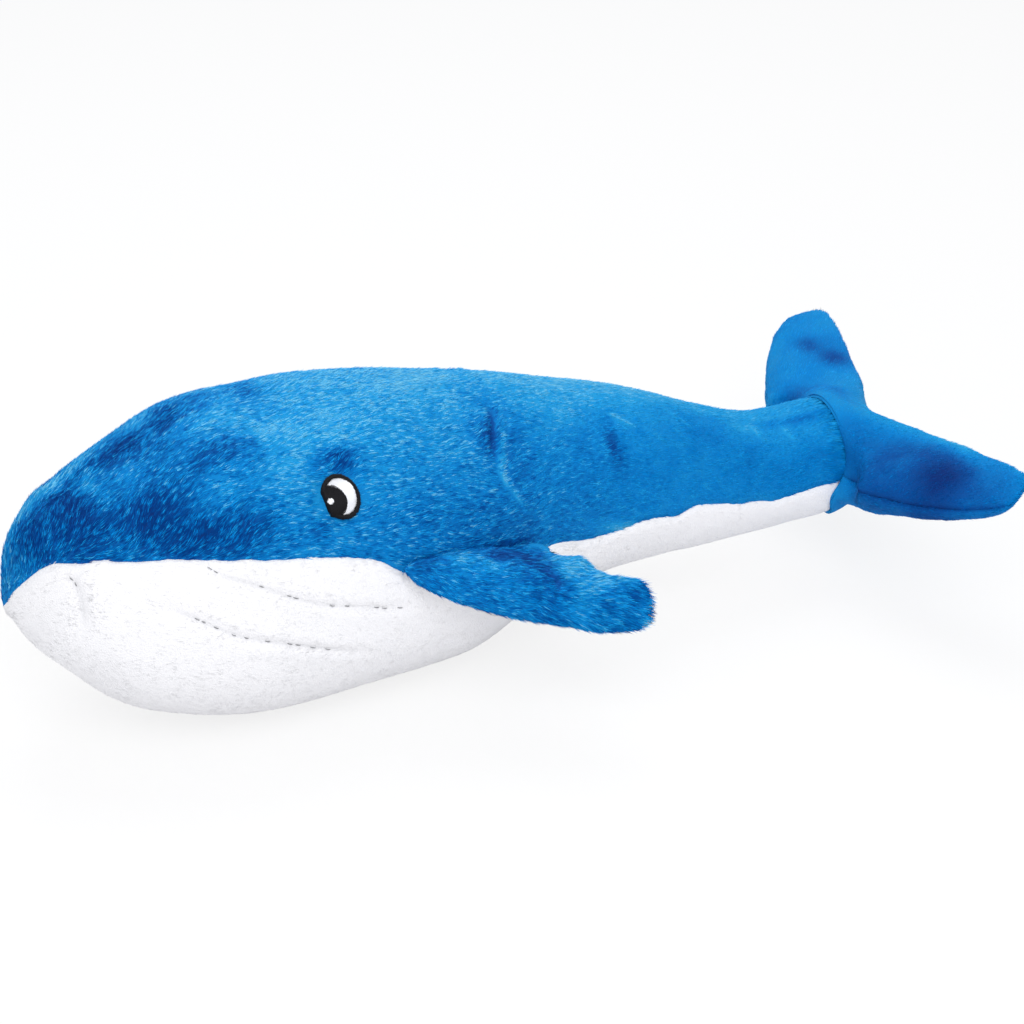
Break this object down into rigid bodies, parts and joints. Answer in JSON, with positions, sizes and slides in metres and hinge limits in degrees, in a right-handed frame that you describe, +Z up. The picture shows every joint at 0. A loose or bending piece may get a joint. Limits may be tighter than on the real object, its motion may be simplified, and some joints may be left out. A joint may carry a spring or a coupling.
{
  "type": "plush whale",
  "caption": "Stuffed toy whale of short-pile plush: blue back, white belly, sewn throat grooves, embroidered eyes, flapping flippers and tail flukes.",
  "frame": {"origin": "on the flat under the belly that the whale rests on, on the body's middle line", "axes": "+X towards the tail, +Y to the whale's right, +Z up; the head points along -X"},
  "size_m": [0.498, 0.2933, 0.1487],
  "materials": {
    "blue_plush": "short brushed pile",
    "white_plush": "short brushed pile",
    "black_thread": "satin-stitch embroidery",
    "white_thread": "satin-stitch embroidery",
    "filling": "loose polyester fibre"
  },
  "bodies": {
    "body": {"left_side_panel": "blue_plush", "right_side_panel": "blue_plush", "belly_panel": "white_plush", "body_filling": "filling", "left_eye_outline": "black_thread", "left_eye_white": "white_thread", "left_eye_pupil": "black_thread", "left_eye_glint": "white_thread", "right_eye_outline": "black_thread", "right_eye_white": "white_thread", "right_eye_pupil": "black_thread", "right_eye_glint": "white_thread"},
    "left_flipper": {"left_flipper_top_panel": "blue_plush", "left_flipper_under_panel": "white_plush", "left_flipper_filling": "filling"},
    "right_flipper": {"right_flipper_top_panel": "blue_plush", "right_flipper_under_panel": "white_plush", "right_flipper_filling": "filling"},
    "flukes": {"fluke_top_panel": "blue_plush", "fluke_under_panel": "blue_plush", "fluke_filling": "filling"}
  },
  "joints": [
    {"name": "left_flipper_flap", "type": "hinge", "parent": "body", "child": "left_flipper", "pos_m": [0.03454, -0.0726, 0.08091], "axis": [0.9797, 0.1126, -0.1657], "range_deg": [-25, 25], "stiffness_Nm_per_rad": 0.07},
    {"name": "right_flipper_flap", "type": "hinge", "parent": "body", "child": "right_flipper", "pos_m": [0.03812, 0.0724, 0.081], "axis": [0.9809, -0.122, -0.1514], "range_deg": [-25, 25], "stiffness_Nm_per_rad": 0.07},
    {"name": "fluke_flap", "type": "hinge", "parent": "body", "child": "flukes", "pos_m": [0.25934, -0.03132, 0.06], "axis": [0.1874, 0.9823, 0], "range_deg": [-18, 18], "stiffness_Nm_per_rad": 0.4}
  ]
}
